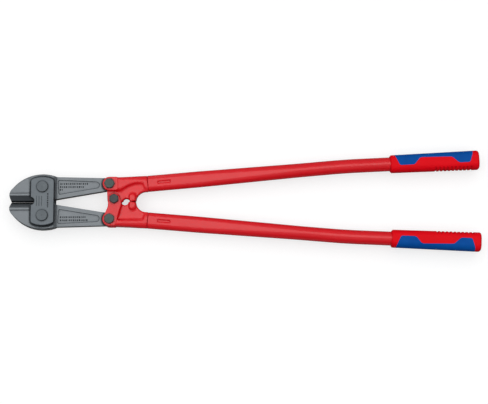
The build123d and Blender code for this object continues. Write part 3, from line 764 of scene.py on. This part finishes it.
def inlay_outline():
    """The inlay's outline seen from the front, through the whole grip: two pads and a strip."""
    bpy.ops.object.select_all(action="DESELECT")
    front, rear = INLAY_EDGE[0][0] * MM, INLAY_EDGE[-1][0] * MM
    bpy.ops.mesh.primitive_plane_add(
        size=1, location=((front + rear) / 2, INLAY_REACH, -INLAY_REACH))
    cutter = bpy.context.object
    cutter.scale = (rear - front, INLAY_BAND, 1)
    bpy.ops.object.transform_apply(location=True, rotation=True, scale=True)
    bpy.ops.object.mode_set(mode="EDIT")
    for x, _ in INLAY_EDGE[1:-1]:
        bpy.ops.mesh.select_all(action="SELECT")
        bpy.ops.mesh.bisect(plane_co=(x * MM, 0, 0), plane_no=(1, 0, 0))
    for x, y in INLAY_EDGE:
        pick(lambda co: abs(co.x - x * MM) < NEAR and co.y < INLAY_REACH)
        bpy.ops.transform.translate(value=(0, y * MM - INLAY_REACH + INLAY_BAND / 2, 0))
    pick(lambda co: co.y < INLAY_REACH - INLAY_BAND / 4)
    bpy.ops.mesh.bevel(offset=INLAY_CORNER, segments=5, affect="VERTICES", clamp_overlap=True)
    bpy.ops.mesh.select_all(action="SELECT")
    bpy.ops.mesh.extrude_region_move(TRANSFORM_OT_translate={"value": (0, 0, 2 * INLAY_REACH)})
    bpy.ops.mesh.select_all(action="SELECT")
    bpy.ops.mesh.normals_make_consistent(inside=False)
    bpy.ops.object.mode_set(mode="OBJECT")
    return cutter


def rib_cutter():
    """Ten curved bars that press the finger ribs into the inner side."""
    bpy.ops.object.select_all(action="DESELECT")
    bpy.ops.mesh.primitive_torus_add(
        major_radius=RIB_CURVE + RIB_RADIUS, minor_radius=RIB_RADIUS, major_segments=96,
        minor_segments=14, rotation=(0, pi / 2, 0))
    bar = bpy.context.object
    bpy.ops.object.transform_apply(location=True, rotation=True, scale=True)
    bpy.ops.object.mode_set(mode="EDIT")
    for normal, at in (((0, 0, 1), (0, 0, RIB_REACH)), ((0, 0, -1), (0, 0, -RIB_REACH)),
                       ((0, 1, 0), (0, 0, 0))):
        bpy.ops.mesh.select_all(action="SELECT")
        bpy.ops.mesh.bisect(plane_co=at, plane_no=normal, use_fill=True, clear_outer=True)
    bpy.ops.mesh.select_all(action="SELECT")
    bpy.ops.mesh.normals_make_consistent(inside=False)
    bpy.ops.object.mode_set(mode="OBJECT")
    bars = [bar]
    for _ in range(1, RIBS):
        bpy.ops.object.duplicate()
        bars.append(bpy.context.object)
    for number, made in enumerate(bars):
        x = RIB_FIRST + number * RIB_PITCH
        made.location = (x, RIB_CURVE - half_width(x, 0) + RIB_DEPTH, 0)
        made.select_set(True)
    bpy.ops.object.transform_apply(location=True, rotation=True, scale=True)
    bpy.ops.object.join()
    return bpy.context.object


grip = grip_block("upper_grip_moulded", 0.0, 0.0, GRIP_LENGTH, True)
inlay = grip_block("upper_grip_inlay_moulded", 0.0, 0.0, GRIP_LENGTH, True)
core = grip_block("grip_core", INLAY_DEPTH, -END_WALL, GRIP_LENGTH + END_WALL, False)
outline = inlay_outline()
bpy.ops.object.select_all(action="DESELECT")
outline.select_set(True)
bpy.context.view_layer.objects.active = outline
bpy.ops.object.duplicate()
pocket = bpy.context.object
bpy.ops.object.mode_set(mode="EDIT")
bpy.ops.mesh.select_all(action="SELECT")
bpy.ops.transform.shrink_fatten(value=SEAM)
bpy.ops.object.mode_set(mode="OBJECT")
combine(pocket, core, "DIFFERENCE", keep_other=True)
combine(grip, pocket, "DIFFERENCE")
combine(inlay, outline, "INTERSECT")
combine(inlay, core, "DIFFERENCE")
combine(grip, rib_cutter(), "DIFFERENCE")
bpy.ops.object.select_all(action="DESELECT")
bpy.ops.mesh.primitive_cylinder_add(
    vertices=GRIP_POINTS, radius=BORE_RADIUS, depth=2 * BORE_DEPTH, rotation=(0, pi / 2, 0))
bpy.ops.object.transform_apply(location=True, rotation=True, scale=True)
combine(grip, bpy.context.object, "DIFFERENCE")
GRIP_START = (AFTER_BEND + END_WALL) - GRIP_LENGTH      # from the bend
for piece in (grip, inlay):
    bpy.ops.object.select_all(action="DESELECT")
    piece.select_set(True)
    bpy.context.view_layer.objects.active = piece
    piece.location = (
        TUBE_ROOT[0] + STRAIGHT * cos(radians(TUBE_ANGLE)) + GRIP_START * cos(radians(GRIP_ANGLE)),
        TUBE_ROOT[1] + STRAIGHT * sin(radians(TUBE_ANGLE)) + GRIP_START * sin(radians(GRIP_ANGLE)),
        MIDDLE)
    piece.rotation_euler = (0, 0, radians(GRIP_ANGLE))
    bpy.ops.object.transform_apply(location=True, rotation=True, scale=True)
for piece, node, material, slot in (
        (grip, "grip", red_plastic, "red_grip_plastic"),
        (inlay, "grip_inlay", blue_rubber, "blue_soft_inlay")):
    twin = mirrored(piece, f"lower_{node}_moulded")
    for made, side in ((piece, "upper"), (twin, "lower")):
        smooth(made, 30)
        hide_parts(f"{side}_{node}")
        dress(made, material, side + "_handle")
